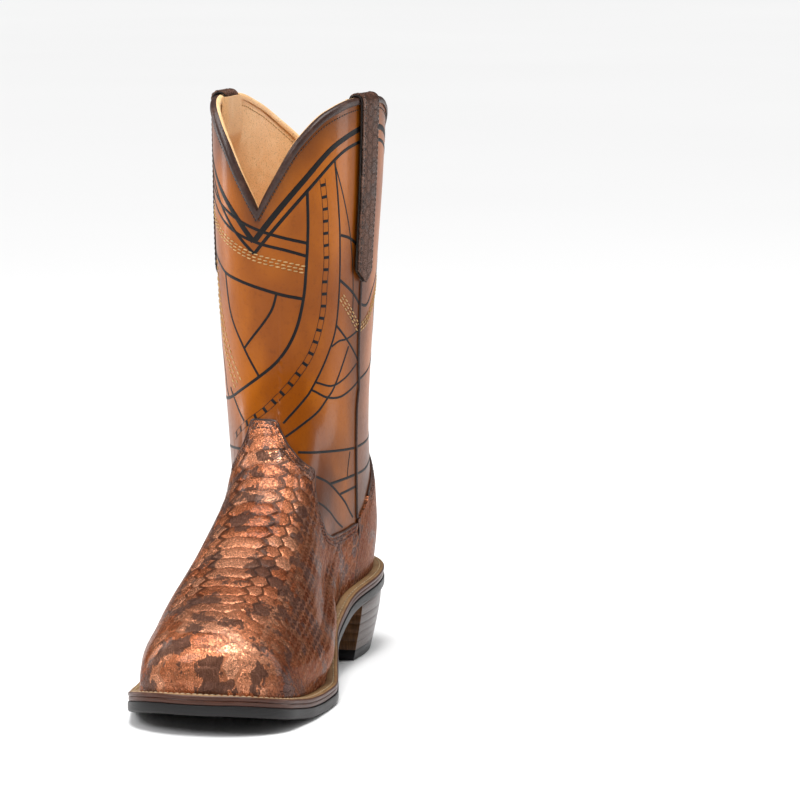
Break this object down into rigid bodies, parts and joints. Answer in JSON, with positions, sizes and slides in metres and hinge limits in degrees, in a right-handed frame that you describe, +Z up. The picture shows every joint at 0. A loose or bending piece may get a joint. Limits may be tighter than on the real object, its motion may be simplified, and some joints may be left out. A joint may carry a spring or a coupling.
{
  "type": "cowboy boot",
  "caption": "Western cowboy boot for the right foot: python-embossed copper vamp and counter, cognac shaft, pull straps, square toe, stacked heel",
  "frame": {"origin": "the middle of the bounding box, on the floor", "axes": "+Z up, -Y to the toe, +X to the inner side of the foot, so -X is the outer side"},
  "size_m": [0.1097, 0.31, 0.3316],
  "materials": {
    "python_leather": "metallic copper, python embossed, glossy",
    "shaft_leather": "polished cognac with printed black lines and stitching",
    "trim_leather": "dark brown, semi-gloss",
    "lining_leather": "matte natural",
    "heel_leather": "stacked, polished dark brown",
    "sole_rubber": "black, satin",
    "midsole_leather": "brown, burnished edge",
    "welt_leather": "natural tan, stitched",
    "steel": "plain",
    "cork": "granulated cork",
    "board": "leather board, matte"
  },
  "bodies": {
    "boot": {"cork_filler": "cork", "heel_counter_cover": "python_leather", "heel_lift_1": "heel_leather", "heel_lift_2": "heel_leather", "heel_lift_3": "heel_leather", "heel_lift_4": "heel_leather", "heel_lift_5": "heel_leather", "heel_nail_1": "steel", "heel_nail_2": "steel", "heel_nail_3": "steel", "heel_nail_4": "steel", "heel_nail_5": "steel", "heel_stiffener": "board", "insole": "board", "midsole": "midsole_leather", "outsole": "sole_rubber", "shaft_back_panel": "shaft_leather", "shaft_front_panel": "shaft_leather", "shaft_lining_back": "lining_leather", "shaft_lining_front": "lining_leather", "shank": "steel", "side_seam_piping_lateral": "trim_leather", "side_seam_piping_medial": "trim_leather", "sock_liner": "lining_leather", "toe_puff": "board", "top_lift": "sole_rubber", "topline_binding_back": "trim_leather", "topline_binding_front": "trim_leather", "vamp": "python_leather", "vamp_lining": "lining_leather", "welt": "welt_leather"},
    "pull_strap_medial_loop": {"pull_strap_medial": "python_leather", "pull_strap_backing_medial": "trim_leather"},
    "pull_strap_lateral_loop": {"pull_strap_lateral": "python_leather", "pull_strap_backing_lateral": "trim_leather"}
  },
  "joints": [
    {"name": "pull_strap_medial_flex", "type": "hinge", "parent": "boot", "child": "pull_strap_medial_loop", "pos_m": [0.04111, 0.06628, 0.32501], "axis": [0.1857, 0.9826, 0], "range_deg": [-15, 15], "stiffness_Nm_per_rad": 0.02, "deforming": ["pull_strap_medial", "pull_strap_backing_medial"]},
    {"name": "pull_strap_lateral_flex", "type": "hinge", "parent": "boot", "child": "pull_strap_lateral_loop", "pos_m": [-0.04471, 0.07681, 0.32501], "axis": [0.0574, 0.9983, 0], "range_deg": [-15, 15], "stiffness_Nm_per_rad": 0.02, "deforming": ["pull_strap_lateral", "pull_strap_backing_lateral"]}
  ]
}
